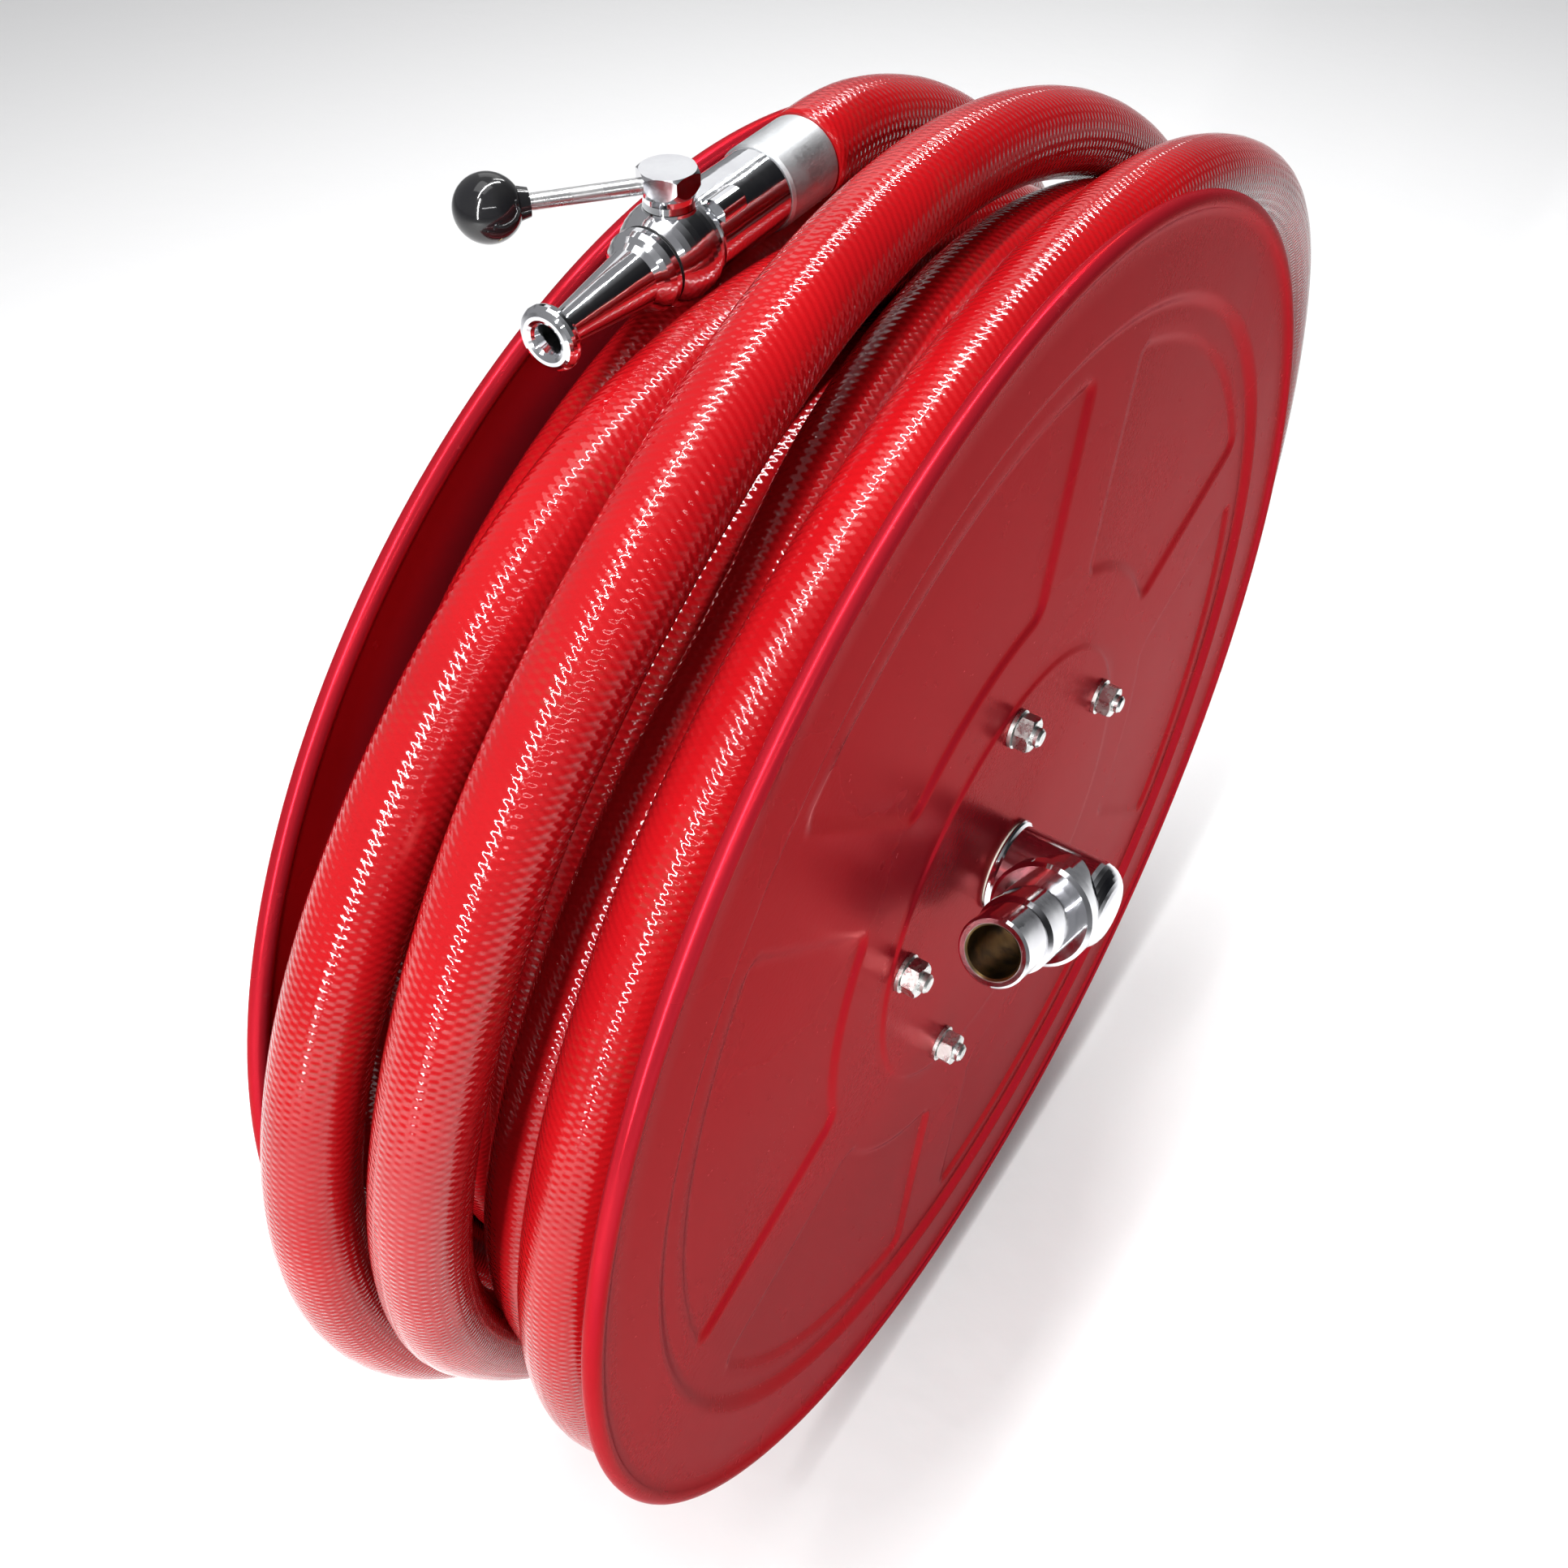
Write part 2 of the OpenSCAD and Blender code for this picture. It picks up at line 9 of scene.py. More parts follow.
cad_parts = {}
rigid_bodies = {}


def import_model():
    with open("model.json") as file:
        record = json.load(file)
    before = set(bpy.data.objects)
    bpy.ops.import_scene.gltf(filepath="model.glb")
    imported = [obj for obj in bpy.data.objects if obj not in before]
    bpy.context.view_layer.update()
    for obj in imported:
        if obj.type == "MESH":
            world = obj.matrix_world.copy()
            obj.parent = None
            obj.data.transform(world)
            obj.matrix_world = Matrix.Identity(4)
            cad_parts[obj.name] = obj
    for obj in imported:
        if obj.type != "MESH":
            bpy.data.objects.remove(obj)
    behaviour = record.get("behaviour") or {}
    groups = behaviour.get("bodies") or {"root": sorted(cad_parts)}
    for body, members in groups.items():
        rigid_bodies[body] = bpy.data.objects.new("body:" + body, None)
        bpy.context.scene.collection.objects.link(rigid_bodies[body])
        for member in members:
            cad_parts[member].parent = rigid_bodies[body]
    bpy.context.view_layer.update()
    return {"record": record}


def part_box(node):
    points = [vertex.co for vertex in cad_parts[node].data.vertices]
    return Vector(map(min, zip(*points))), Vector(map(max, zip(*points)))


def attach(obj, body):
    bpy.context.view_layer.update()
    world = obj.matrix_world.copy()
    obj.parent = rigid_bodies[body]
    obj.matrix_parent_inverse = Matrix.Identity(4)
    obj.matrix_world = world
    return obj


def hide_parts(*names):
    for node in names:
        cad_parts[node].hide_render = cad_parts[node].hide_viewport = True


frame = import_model()

MM = 0.001
REEL = "reel_body"

# The reel's middle lies on the Y axis, halfway between the two discs.
near_lo, near_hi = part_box("near_disc")
far_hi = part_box("far_disc")[1]
MID_Y = (near_lo[1] + far_hi[1]) / 2
RIM_R = near_hi[0]
HALF_W = (far_hi[1] - near_lo[1]) / 2
MIDDLE = Vector((0, MID_Y, 0))


# ---------------------------------------------------------------- camera

def add_camera():
    """Camera above the hose and left of the near disc, from a fit to the reel in the photo."""
    data = bpy.data.cameras.new("camera")
    data.sensor_width = 36
    data.lens = 37.94
    data.shift_y = -0.0624
    data.clip_start = 0.01
    right = Vector((0.5523, -0.8337, 0.0))
    ahead = Vector((0.6073, 0.4023, -0.6851))
    right.normalize()
    up = right.cross(ahead).normalized()
    back = right.cross(up)
    cam = bpy.data.objects.new("camera", data)
    spot = MIDDLE + Vector((-0.4290, -0.2422, 0.5287))
    turn = Matrix((right, up, back)).transposed().to_4x4()
    cam.matrix_world = Matrix.Translation(spot) @ turn
    bpy.context.scene.collection.objects.link(cam)
    bpy.context.scene.camera = cam


add_camera()


# ---------------------------------------------------------------- hose route

HOSE_D = 0.032
HOSE_R = HOSE_D / 2

# Layers next to the core, in mm: radius of the first, step to the next, how many, and turns in each
LAYER_R = 128.5
LAYER_STEP = 30.0
LAYERS = 3
TURNS = 4
SIDE_Y = 47.6
START_A = 266
TURN_KNOTS = 12

# The tube: sides, length between rings where it is hidden and where it shows, and how many
# of the outer turns are hidden
HOSE_SIDES = 28
HIDDEN_STEP, SEEN_STEP = 0.016, 0.006
HIDDEN_TURNS = 3

# The outlet, then the way onto the core: (angle, y, radius) in degrees and mm
OUTLET = [(265.5, 44, 129.5), (281, 44, 131.5), (298, 44.5, 130.5)]

# Outer turns as (turn, angle, y, radius). Where the photo shows them, the numbers began as a
# fit to outlines picked in it, then rounded and adjusted. The rest are given one by one.
OUTER = [
    # over to the far side
    (0, 300, -43, 194), (0, 330, -29, 206), (1, 0, -10, 214), (1, 30, 2, 216),
    (1, 90, 3.5, 216), (1, 160, 3.5, 216), (1, 240, 6, 216), (1, 285, 19, 217), (1, 330, 32, 216),
    (2, 10, 35, 216), (2, 90, 35, 216), (2, 180, 35, 216), (2, 240, 35, 216), (2, 280, 40, 224),
    (2, 320, 48, 240), (3, 0, 50, 244), (3, 90, 50, 244), (3, 180, 50, 244), (3, 215, 47, 245),
    # back to the near side, deep between its neighbours
    (3, 245, 35, 247), (3, 270, 18, 248), (3, 295, -2, 246), (3, 320, -22, 240), (3, 345, -36, 248),
    (4, 15, -40, 262), (4, 30, -38.5, 261.5), (4, 50, -36, 260), (4, 70, -27, 256), (4, 84, -24, 251),
    (4, 94, -24, 247), (4, 105, -24.5, 240), (4, 120, -27, 231), (4, 140, -24, 232.6),
    (4, 160, -19.3, 237), (4, 180, -14.5, 241.5), (4, 200, -12, 244), (4, 230, -15, 249),
    (4, 260, -27, 254), (4, 300, -42, 258),
    # up beside the near disc, standing out over its rim
    (4, 330, -50, 278), (5, 0, -51, 300), (5, 20, -50, 309), (5, 40, -52.5, 301),
    (5, 60, -53.5, 282), (5, 80, -53.5, 267), (5, 100, -53, 257.5), (5, 120, -51, 253),
    (5, 140, -48.5, 252.5), (5, 160, -46, 254), (5, 180, -42, 256.5), (5, 200, -38.6, 260.5),
    # over the last one and along the middle
    (5, 230, -33, 277), (5, 255, -27, 286), (5, 285, -21, 288), (5, 320, -17, 285),
    (6, 0, -16, 283), (6, 30, -15.5, 283), (6, 60, -12.5, 284), (6, 80, -11, 286.5),
    (6, 100, -13, 290), (6, 120, -16.4, 292.7), (6, 140, -14.5, 292.5), (6, 160, -9.5, 286),
    (6, 180, 1, 274.5), (6, 200, 12.7, 263), (6, 225, 18, 263), (6, 245, 19, 274),
    (6, 270, 19, 279), (6, 295, 18, 276), (6, 330, 17, 268),
    # under the nozzle and down the far side
    (7, 0, 16, 260), (7, 30, 16, 252), (7, 60, 17, 247), (7, 80, 18, 246), (7, 92, 19, 250),
    (7, 104, 21, 260), (7, 120, 23.5, 274), (7, 140, 29.7, 279.5), (7, 160, 37.6, 281.5),
    (7, 180, 44, 282), (7, 200, 48, 281.7), (7, 220, 50, 280.5), (7, 250, 50.3, 278),
    (7, 290, 50.3, 275),
    (7, 330, 50.3, 270), (8, 0, 50, 265), (8, 20, 50, 263.5), (8, 40, 50, 266),
    (8, 60, 50, 272), (8, 71, 50, 275.4), (8, 81, 49.8, 275.8), (8, 85.4, 49.4, 273.3),
]


def smooth(t):
    """Soft step from 0 to 1 as t goes from 0 to 1."""
    t = min(max(t, 0.0), 1.0)
    return t * t * (3 - 2 * t)


def layer_knots():
    """(angle, y, radius) of the inner turns: back and forth between the discs."""
    knots = []
    for layer in range(LAYERS):
        side = 1 if layer % 2 == 0 else -1
        for step in range(TURNS * TURN_KNOTS):
            turn = step / TURN_KNOTS
            if layer == 0 and turn < 0.15:
                continue
            drift = min(max((turn - 0.5) / (TURNS - 1), 0), 1)
            y = side * SIDE_Y * (1 - 2 * drift)
            rise = smooth((turn - TURNS + 0.5) / 0.5)
            r = LAYER_R + LAYER_STEP * (layer + (rise if layer < LAYERS - 1 else 0))
            knots.append((START_A + 360 * (layer * TURNS + turn), y, r))
    return knots


def hose_knots():
    """(angle, y, radius) all the way, with the angle counted on from turn to turn."""
    inner = OUTLET + layer_knots()
    first = 360 * LAYERS * TURNS
    return inner + [(first + 360 * turn + a, y, r) for turn, a, y, r in OUTER]


def spline(xs, ys):
    """Slopes at the points, for a smooth curve through them."""
    n = len(xs)
    h = [xs[i + 1] - xs[i] for i in range(n - 1)]
    d = [(ys[i + 1] - ys[i]) / h[i] for i in range(n - 1)]
    m = [d[0]]
    for i in range(1, n - 1):
        w = h[i - 1] + h[i]
        m.append((d[i - 1] * h[i] + d[i] * h[i - 1]) / w)
    m.append(d[-1])
    return m


def hermite(xs, ys, ms, i, x):
    """Height at x of the smooth curve between points i and i + 1."""
    h = xs[i + 1] - xs[i]
    t = (x - xs[i]) / h
    return (
        ys[i] * (1 + 2 * t) * (1 - t) ** 2 + ms[i] * h * t * (1 - t) ** 2
        + ys[i + 1] * t * t * (3 - 2 * t) + ms[i + 1] * h * t * t * (t - 1)
    )


def hose_route():
    """Points on the hose's axis, from the outlet to the ferrule."""
    knots = hose_knots()
    a = [k[0] for k in knots]
    y = [k[1] for k in knots]
    r = [k[2] for k in knots]
    my, mr = spline(a, y), spline(a, r)
    points = []
    fine_from = 360 * (LAYERS * TURNS + HIDDEN_TURNS) + START_A
    angle, i = a[0], 0
    while angle < a[-1]:
        while angle > a[i + 1]:
            i += 1
        rad = hermite(a, r, mr, i, angle) * MM
        points.append(at_angle(angle, hermite(a, y, my, i, angle) * MM, rad))
        angle += math.degrees((SEEN_STEP if angle > fine_from else HIDDEN_STEP) / rad)
    points.append(at_angle(a[-1], y[-1] * MM, r[-1] * MM))
    return points


def at_angle(angle, y, r):
    """Point at an angle round the reel's axis, from +X towards +Z."""
    w = math.radians(angle)
    return MIDDLE + Vector((r * math.cos(w), y, r * math.sin(w)))


def tube_mesh(name, points, radius, sides):
    """Mesh tube along the points, with a UV map in metres: along, then round."""
    bm = bmesh.new()
    uv = bm.loops.layers.uv.new("metres")
    rings, along = [], [0.0]
    for i, p in enumerate(points):
        if i:
            along.append(along[-1] + (p - points[i - 1]).length)
        t = (points[min(i + 1, len(points) - 1)] - points[max(i - 1, 0)]).normalized()
        u = Vector((0, 1, 0))
        u = (u - t * u.dot(t)).normalized()
        v = t.cross(u)
        ring = []
        for k in range(sides):
            w = 2 * math.pi * k / sides
            ring.append(bm.verts.new(p + radius * (math.cos(w) * u + math.sin(w) * v)))
        rings.append(ring)
    girth = 2 * math.pi * radius
    for i in range(len(rings) - 1):
        for k in range(sides):
            n = (k + 1) % sides
            f = bm.faces.new((rings[i][k], rings[i + 1][k], rings[i + 1][n], rings[i][n]))
            f.smooth = True
            spots = ((i, k), (i + 1, k), (i + 1, k + 1), (i, k + 1))
            for loop, (row, col) in zip(f.loops, spots):
                loop[uv].uv = (along[row], girth * col / sides)
    bm.faces.new(rings[0])
    bm.faces.new(reversed(rings[-1]))
    mesh = bpy.data.meshes.new(name)
    bm.normal_update()
    bm.to_mesh(mesh)
    bm.free()
    obj = bpy.data.objects.new(name, mesh)
    bpy.context.scene.collection.objects.link(obj)
    return obj, along[-1]


def add_hose():
    """The whole hose, out to the nozzle's ferrule, as one tube on the reel's body in place of the
    model's hose parts.
    """
    points = hose_route()
    hose, length = tube_mesh("hose", points, HOSE_R, HOSE_SIDES)
    print("hose length", round(length, 2))
    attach(hose, REEL)
    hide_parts("hose_lead", "hose_coil", "hose_end")
    return hose


hose = add_hose()


# ---------------------------------------------------------------- discs

# The pressing of a disc, in mm and degrees: radii, and depths below the rim's outermost plane
BORE_R = 19.4
HUB_R = 96.5
PANEL_R = (130, 228)
STEP_R = (237, 244)
HUB_LOW, WEB_LOW, FLARE_LOW = 4.7, 5.6, 2.6
PANEL_DEEP = 1.5
PANEL_SLOPE = 5.0
CORNER_R = 9.0
SPOKE_W = 38.0
SPOKE_A = 18.5
PANELS = 6
SHEET = 1.2
BEAD_R = 3.5
DISC_SIDES = 720
# The rolled rim's turn, in degrees: where each face runs into it, and its segments
BEAD_FROM, BEAD_TO, BEAD_SEGMENTS = 150, -165, 22


def panel_inside(r, angle):
    """Distance in mm from a point to the edge of its panel, positive inside."""
    half = 180 / PANELS
    off = (angle - SPOKE_A) % (2 * half) - half
    side = r * math.sin(math.radians(half - abs(off))) - SPOKE_W / 2
    end = min(r - PANEL_R[0], PANEL_R[1] - r)
    if side < CORNER_R and end < CORNER_R:
        return CORNER_R - math.hypot(CORNER_R - side, CORNER_R - end)
    return min(side, end)


def face_low(r, angle):
    """How far the outer face lies below the rim's plane, in mm."""
    low = HUB_LOW + (WEB_LOW - HUB_LOW) * smooth((r - HUB_R) / 3)
    low += (FLARE_LOW - WEB_LOW) * smooth((r - STEP_R[0]) / (STEP_R[1] - STEP_R[0]))
    if PANEL_R[0] < r < PANEL_R[1]:
        low += PANEL_DEEP * smooth(panel_inside(r, angle) / PANEL_SLOPE)
    return low


def steps(start, stop, step):
    """Even steps from start up to, but without, stop."""
    n = round((stop - start) / step)
    return [start + (stop - start) * i / n for i in range(n)]


def face_radii():
    """Radii of the rings across a face, close together at the creases."""
    return (
        [BORE_R, 21, 40, 70, 92, 95] + steps(96, 100.5, 0.9) + [104, 116, 126]
        + steps(129, 138, 1.3) + steps(138, 219, 9) + steps(219, 229, 1.3)
        + [232] + steps(236, 246, 1.1) + [252, 262, 270]
    )


def disc_mesh(name, side):
    """One side disc as a closed sheet with a rolled rim; side is -1 near, 1 far."""
    rim = RIM_R / MM
    plane = HALF_W / MM
    radii = face_radii()
    bead_mid = rim - BEAD_R
    bm = bmesh.new()
    loops = []
    for k in range(DISC_SIDES):
        angle = 360 * k / DISC_SIDES
        outer = [(r, plane - face_low(r, angle)) for r in radii]
        inner = [(r, h - SHEET) for r, h in reversed(outer)]
        bead = []
        for i in range(BEAD_SEGMENTS + 1):
            w = math.radians(BEAD_FROM + (BEAD_TO - BEAD_FROM) * i / BEAD_SEGMENTS)
            bead.append((bead_mid + BEAD_R * math.cos(w), plane - BEAD_R + BEAD_R * math.sin(w)))
        profile = outer + bead + inner
        loops.append([bm.verts.new(at_angle(angle, side * h * MM, r * MM)) for r, h in profile])
    count = len(loops[0])
    for k in range(DISC_SIDES):
        for i in range(count):
            a, b = loops[k], loops[(k + 1) % DISC_SIDES]
            j = (i + 1) % count
            quad = (a[i], a[j], b[j], b[i]) if side < 0 else (a[i], b[i], b[j], a[j])
            bm.faces.new(quad).smooth = True
    bmesh.ops.recalc_face_normals(bm, faces=bm.faces)
    mesh = bpy.data.meshes.new(name)
    bm.to_mesh(mesh)
    bm.free()
    obj = bpy.data.objects.new(name, mesh)
    bpy.context.scene.collection.objects.link(obj)
    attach(obj, REEL)
    return obj


near_pressing = disc_mesh("near_pressing", -1)
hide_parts("near_disc")
far_pressing = disc_mesh("far_pressing", 1)
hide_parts("far_disc")


# ---------------------------------------------------------------- materials

class Surface:
    """A material under construction, with short names for the nodes it uses."""

    def __init__(self, name, color, metallic=0.0, rough=0.5):
        self.mat = bpy.data.materials.new(name)
        self.mat.use_nodes = True
        self.tree = self.mat.node_tree
        self.shader = self.tree.nodes["Principled BSDF"]
        self.set("Base Color", (*color, 1))
        self.set("Metallic", metallic)
        self.set("Roughness", rough)

    def set(self, socket, value):
        self.shader.inputs[socket].default_value = value

    def node(self, kind, **settings):
        made = self.tree.nodes.new(kind)
        for key, value in settings.items():
            setattr(made, key, value)
        return made

    def link(self, source, target):
        self.tree.links.new(source, target)

    def place(self):
        return self.node("ShaderNodeTexCoord").outputs["Object"]

    def noise(self, scale, detail=3.0, where=None, stretch=None):
        """Noise of about 1/scale metres, between 0 and 1."""
        where = where or self.place()
        if stretch:
            mapping = self.node("ShaderNodeMapping")
            mapping.inputs["Scale"].default_value = stretch
            self.link(where, mapping.inputs["Vector"])
            where = mapping.outputs["Vector"]
        made = self.node("ShaderNodeTexNoise")
        made.inputs["Scale"].default_value = scale
        made.inputs["Detail"].default_value = detail
        self.link(where, made.inputs["Vector"])
        return made.outputs["Fac"]

    def spread(self, value, lo, hi, to_lo=0.0, to_hi=1.0):
        """Maps lo..hi to to_lo..to_hi and clamps."""
        made = self.node("ShaderNodeMapRange")
        self.link(value, made.inputs["Value"])
        for socket, number in zip(("From Min", "From Max", "To Min", "To Max"), (lo, hi, to_lo, to_hi)):
            made.inputs[socket].default_value = number
        return made.outputs["Result"]

    def math(self, kind, a, b=None):
        made = self.node("ShaderNodeMath", operation=kind)
        for socket, value in zip(made.inputs, (a, b)):
            if isinstance(value, (int, float)):
                socket.default_value = value
            elif value is not None:
                self.link(value, socket)
        return made.outputs[0]

    def blend(self, factor, a, b):
        """Colour between a and b; each is a colour or an output."""
        made = self.node("ShaderNodeMix", data_type="RGBA")
        self.link(factor, made.inputs["Factor"])
        for socket, value in zip((made.inputs[6], made.inputs[7]), (a, b)):
            if isinstance(value, tuple):
                socket.default_value = (*value, 1)
            else:
                self.link(value, socket)
        return made.outputs[2]

    def bump(self, height, depth):
        """Adds bumps of a depth in metres over those already there."""
        made = self.node("ShaderNodeBump")
        made.inputs["Strength"].default_value = 1.0
        made.inputs["Distance"].default_value = depth
        self.link(height, made.inputs["Height"])
        before = self.shader.inputs["Normal"]
        if before.is_linked:
            self.link(before.links[0].from_socket, made.inputs["Normal"])
        self.link(made.outputs["Normal"], before)

    def to(self, socket, output):
        self.link(output, self.shader.inputs[socket])


def worn(name, color, worn_color, metallic, rough, patch, grain, depth, stretch=None):
    """Surface whose colour and gloss vary in soft patches, with a fine grain."""
    s = Surface(name, color, metallic)
    patches = s.spread(s.noise(patch), 0.4, 0.7)
    s.to("Base Color", s.blend(patches, color, worn_color))
    fine = s.noise(grain, 4, stretch=stretch)
    s.to("Roughness", s.spread(s.math("ADD", fine, patches), 0.4, 1.5, *rough))
    s.bump(fine, depth)
    return s


# The moulded lattice on the hose: step between bumps along it, in metres, and rows round it
LATTICE_STEP, LATTICE_ROUND = 0.0029, 32
# Heights over the reel's axis between which the cover goes from dull to fully glossy
DULL_Z, GLOSSY_Z = 0.03, 0.18


def red_hose():
    """Glossy cover moulded over a braid, duller on the reel's lower half."""
    s = Surface("red_hose", (0.76, 0.010, 0.018))
    place = s.node("ShaderNodeSeparateXYZ")
    s.link(s.place(), place.inputs[0])
    s.to("Specular IOR Level", s.spread(place.outputs[2], DULL_Z, GLOSSY_Z, 0.12, 0.5))
    round_step = 2 * math.pi * HOSE_R / LATTICE_ROUND
    uv = s.node("ShaderNodeUVMap", uv_map="metres").outputs["UV"]
    split = s.node("ShaderNodeSeparateXYZ")
    s.link(uv, split.inputs[0])
    wobble = s.spread(s.noise(70, 2, uv), 0.3, 0.7, -0.7, 0.7)
    turn = s.math("ADD", s.math("MULTIPLY", split.outputs[0], 2 * math.pi / LATTICE_STEP), wobble)
    lap = s.math("MULTIPLY", split.outputs[1], math.pi / round_step)
    lattice = s.math("MULTIPLY", s.math("COSINE", turn), s.math("COSINE", lap))
    height = s.spread(lattice, -1, 1)
    s.bump(s.noise(9, 3, uv), 0.0009)
    s.bump(height, 0.00021)
    s.bump(s.noise(700, 2, uv), 0.00005)
    soft = s.spread(s.noise(14, 5, uv), 0.35, 0.7)
    color = s.blend(soft, (0.32, 0.004, 0.006), (0.25, 0.003, 0.005))
    low = s.math("MULTIPLY", s.spread(lattice, 0.2, -0.7), s.spread(s.noise(22, 2, uv), 0.56, 0.68))
    color = s.blend(s.math("MULTIPLY", low, 0.35), color, (0.16, 0.03, 0.02))
    scuff = s.spread(s.noise(60, 6, uv, (0.25, 1, 1)), 0.66, 0.74)
    s.to("Base Color", s.blend(s.math("MULTIPLY", scuff, 0.3), color, (0.50, 0.06, 0.06)))
    s.to("Roughness", s.math("ADD", s.spread(soft, 0, 1, 0.07, 0.13), s.math("MULTIPLY", scuff, 0.15)))
    return s


def crimson_paint():
    """Deep powder coat with a metallic sheen and a slight orange peel."""
    s = Surface("crimson_paint", (0.30, 0.009, 0.017))
    s.set("Metallic", 0.5)
    s.set("Specular IOR Level", 0.02)
    s.set("Specular Tint", (0.60, 0.10, 0.15, 1))
    soft = s.spread(s.noise(9, 4), 0.3, 0.7)
    color = s.blend(soft, (0.31, 0.010, 0.018), (0.36, 0.012, 0.022))
    dust = s.spread(s.noise(160, 6), 0.68, 0.8)
    s.to("Base Color", s.blend(s.math("MULTIPLY", dust, 0.12), color, (0.4, 0.16, 0.16)))
    s.to("Roughness", s.math("ADD", s.spread(soft, 0, 1, 0.2, 0.3), s.math("MULTIPLY", dust, 0.2)))
    s.bump(s.noise(450, 2), 0.00004)
    return s


def chrome():
    """Plating over a cast and ground body, so its reflections waver a little."""
    s = Surface("chrome", (0.80, 0.81, 0.83), 1.0)
    soft = s.spread(s.noise(60, 4), 0.4, 0.7)
    s.to("Base Color", s.blend(soft, (0.82, 0.83, 0.85), (0.70, 0.70, 0.73)))
    smear = s.noise(420, 5, stretch=(1, 1, 0.3))
    s.to("Roughness", s.spread(s.math("ADD", smear, soft), 0.4, 1.6, 0.04, 0.16))
    s.bump(s.noise(90, 2), 0.00012)
    s.bump(smear, 0.00001)
    return s


# Distances from the pipe's axis, in metres, between which the plating ends
BORE_EDGE = (0.0118, 0.0110)


def inlet_pipe():
    """The same chrome outside; inside the bore the brass is bare."""
    s = chrome()
    s.mat.name = "chrome_pipe"
    lo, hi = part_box("inlet_nipple")
    mouth = Vector(((lo[0] + hi[0]) / 2, (lo[1] + hi[1]) / 2, (lo[2] + hi[2]) / 2))
    along = Vector(axis_of("inlet_end"))
    away = s.node("ShaderNodeVectorMath", operation="SUBTRACT")
    s.link(s.place(), away.inputs[0])
    away.inputs[1].default_value = mouth
    across = s.node("ShaderNodeVectorMath", operation="CROSS_PRODUCT")
    s.link(away.outputs[0], across.inputs[0])
    across.inputs[1].default_value = along
    size = s.node("ShaderNodeVectorMath", operation="LENGTH")
    s.link(across.outputs[0], size.inputs[0])
    inside = s.spread(size.outputs["Value"], *BORE_EDGE)
    plated = s.shader.inputs["Base Color"].links[0].from_socket
    brass = s.blend(s.spread(s.noise(140, 5), 0.4, 0.65), (0.34, 0.21, 0.08), (0.14, 0.09, 0.04))
    s.to("Base Color", s.blend(inside, plated, brass))
    rough = s.shader.inputs["Roughness"].links[0].from_socket
    s.to("Roughness", s.math("ADD", rough, s.math("MULTIPLY", inside, 0.25)))
    return s


def axis_of(mount):
    """Axis of a mount in the record."""
    return next(m for m in frame["record"]["mounts"] if m["name"] == mount)["axis"]


# name, colour, worn colour, metallic, roughness, patches and grain per metre, grain depth
PLAIN = [
    ("spindle_brass", (0.72, 0.55, 0.26), (0.55, 0.40, 0.18), 1, (0.16, 0.32), 40, 900, 0.00002),
    ("cast_brass", (0.62, 0.45, 0.20), (0.42, 0.29, 0.13), 1, (0.3, 0.5), 50, 700, 0.00008),
    ("black_rubber", (0.014, 0.014, 0.015), (0.03, 0.03, 0.03), 0, (0.5, 0.7), 80, 1500, 0.00003),
    ("bearing_nylon", (0.80, 0.77, 0.68), (0.70, 0.66, 0.56), 0, (0.35, 0.5), 60, 800, 0.00002),
    ("white_seat", (0.85, 0.85, 0.83), (0.76, 0.76, 0.74), 0, (0.3, 0.45), 60, 800, 0.00002),
    ("spring_steel", (0.50, 0.50, 0.51), (0.36, 0.36, 0.36), 1, (0.28, 0.42), 120, 1500, 0.00002),
    ("zinc_steel", (0.66, 0.67, 0.66), (0.46, 0.47, 0.45), 1, (0.2, 0.42), 220, 1400, 0.00003),
    ("rod_steel", (0.60, 0.60, 0.60), (0.46, 0.46, 0.46), 1, (0.24, 0.38), 120, 1800, 0.00002),
    ("ball_chrome", (0.78, 0.78, 0.80), (0.70, 0.70, 0.72), 1, (0.05, 0.12), 60, 900, 0.00001),
    ("ferrule_aluminium", (0.56, 0.57, 0.58), (0.44, 0.45, 0.46), 1, (0.42, 0.6), 90, 1100, 0.00005),
    ("black_gloss", (0.008, 0.008, 0.009), (0.014, 0.014, 0.014), 0, (0.06, 0.16), 60, 700, 0.00001),
]
MATS = {row[0]: worn(*row).mat for row in PLAIN}
MATS["red_hose"] = red_hose().mat
MATS["crimson_paint"] = crimson_paint().mat
MATS["chrome"] = chrome().mat

hose.data.materials.append(MATS["red_hose"])
near_pressing.data.materials.append(MATS["crimson_paint"])
far_pressing.data.materials.append(MATS["crimson_paint"])
for sub in frame["record"]["subparts"]:
    for slot in bpy.data.objects[sub["node"]].material_slots:
        slot.material = MATS[sub["material_slot"]]
for slot in bpy.data.objects["inlet_nipple"].material_slots:
    slot.material = inlet_pipe().mat


# ---------------------------------------------------------------- floor and light

FLOOR_GAP = 0.045


def add_floor():
    """Plain pale floor, a little below the reel."""
    low = RIM_R + FLOOR_GAP
    bpy.ops.mesh.primitive_plane_add(size=30, location=(0, 0, -low))
    floor = bpy.context.object
    floor.name = "floor"
    paper = Surface("paper", (0.86, 0.86, 0.86), 0, 0.9)
    paper.set("Specular IOR Level", 0.1)
    paper.bump(paper.noise(40), 0.0005)
    floor.data.materials.append(paper.mat)


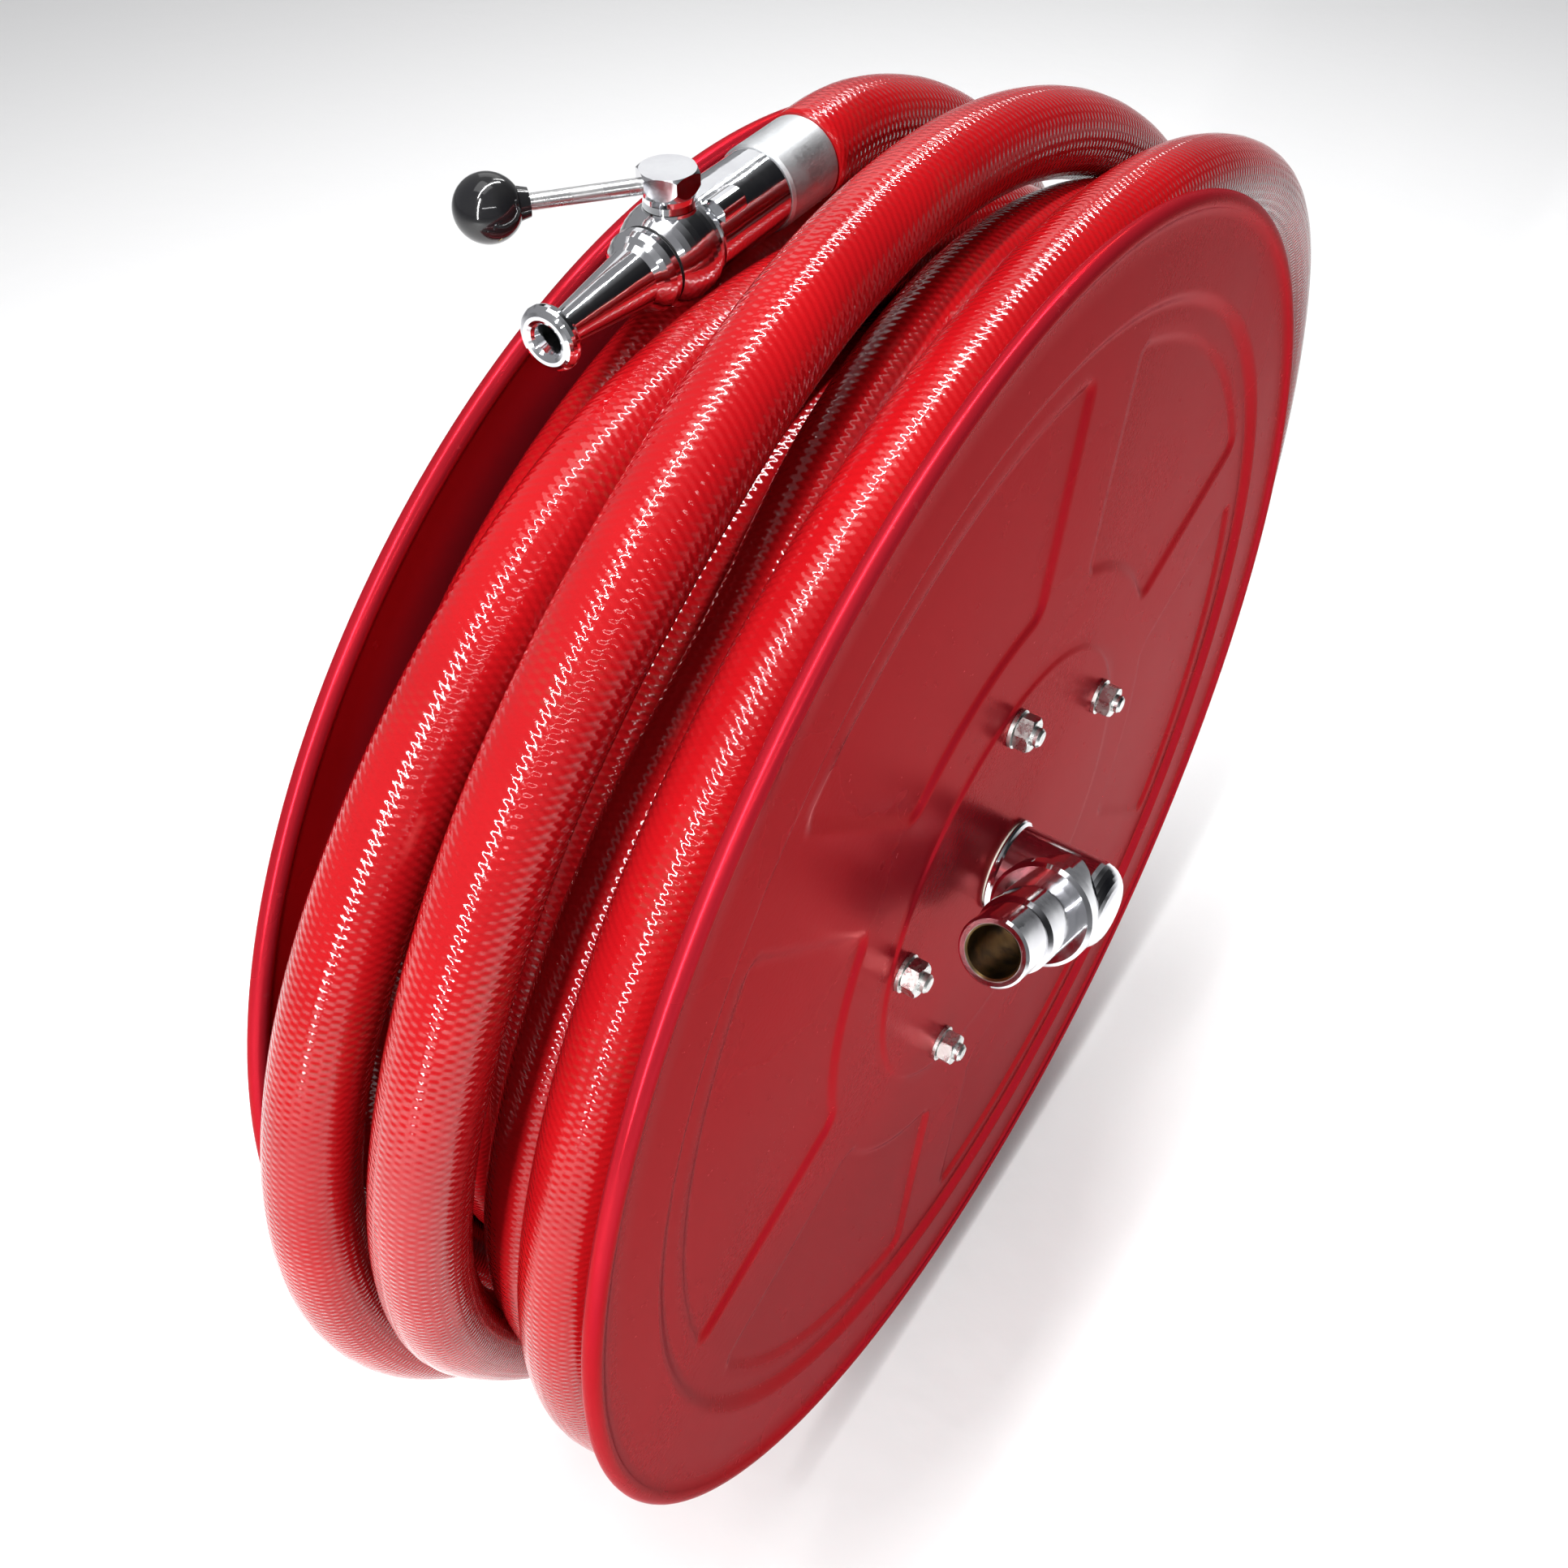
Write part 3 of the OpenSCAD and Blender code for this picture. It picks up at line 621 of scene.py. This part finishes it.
def add_area(name, spot, along, size, power):
    """Area light facing the reel's middle, its first side laid along a direction."""
    data = bpy.data.lights.new(name, "AREA")
    data.shape = "RECTANGLE"
    data.size, data.size_y = size
    data.energy = power
    light = bpy.data.objects.new(name, data)
    back = Vector(spot).normalized()
    side = Vector(along)
    side = (side - back * side.dot(back)).normalized()
    turn = Matrix((side, back.cross(side), back)).transposed().to_4x4()
    light.matrix_world = Matrix.Translation(MIDDLE + Vector(spot)) @ turn
    light.visible_camera = False
    bpy.context.scene.collection.objects.link(light)


def add_world():
    """Grey all round, with a dark side over the near disc, so that metal shows bands."""
    world = bpy.data.worlds.new("studio")
    bpy.context.scene.world = world
    world.use_nodes = True
    tree = world.node_tree
    where = tree.nodes.new("ShaderNodeTexCoord")
    facing = tree.nodes.new("ShaderNodeVectorMath")
    facing.operation = "DOT_PRODUCT"
    facing.inputs[1].default_value = Vector((0.62, -0.72, 0.30)).normalized()
    ramp = tree.nodes.new("ShaderNodeValToRGB")
    tree.links.new(where.outputs["Generated"], facing.inputs[0])
    tree.links.new(facing.outputs["Value"], ramp.inputs[0])
    tree.links.new(ramp.outputs[0], tree.nodes["Background"].inputs[0])
    stops = ramp.color_ramp.elements
    stops[0].position, stops[0].color = 0.0, (0.30, 0.30, 0.31, 1)
    stops[1].position, stops[1].color = 1.0, (0.01, 0.01, 0.012, 1)
    for position, grey in ((0.5, 0.26), (0.8, 0.03)):
        stops.new(position).color = (grey, grey, grey * 1.04, 1)
    tree.nodes["Background"].inputs[1].default_value = 1.0


add_floor()
# Narrow strips arch over the wound hose and draw a bright line along each turn; the card is
# a pale patch for the chrome to mirror, and the wide top light is the fill.
add_area("strip_over", (0.1, 0.12, 1.5), (1, 0, 0), (2.4, 0.03), 34)
add_area("strip_left", (-1.35, -0.15, 0.75), (0, 0, 1), (1.7, 0.03), 34)
add_area("strip_right", (1.4, 0.45, 1.25), (1, 0, -1), (0.9, 0.06), 4)
add_area("strip_near", (-1.0, -1.0, 1.0), (1, -1, 0), (1.3, 0.03), 4)
add_area("card", (1.15, 0.95, 1.05), (0, 0, 1), (0.8, 0.9), 1.7)
add_area("top", (-0.1, 0.5, 3.4), (1, 0, 0), (2.2, 2.2), 29)
add_world()
bpy.context.scene.view_settings.view_transform = "Standard"
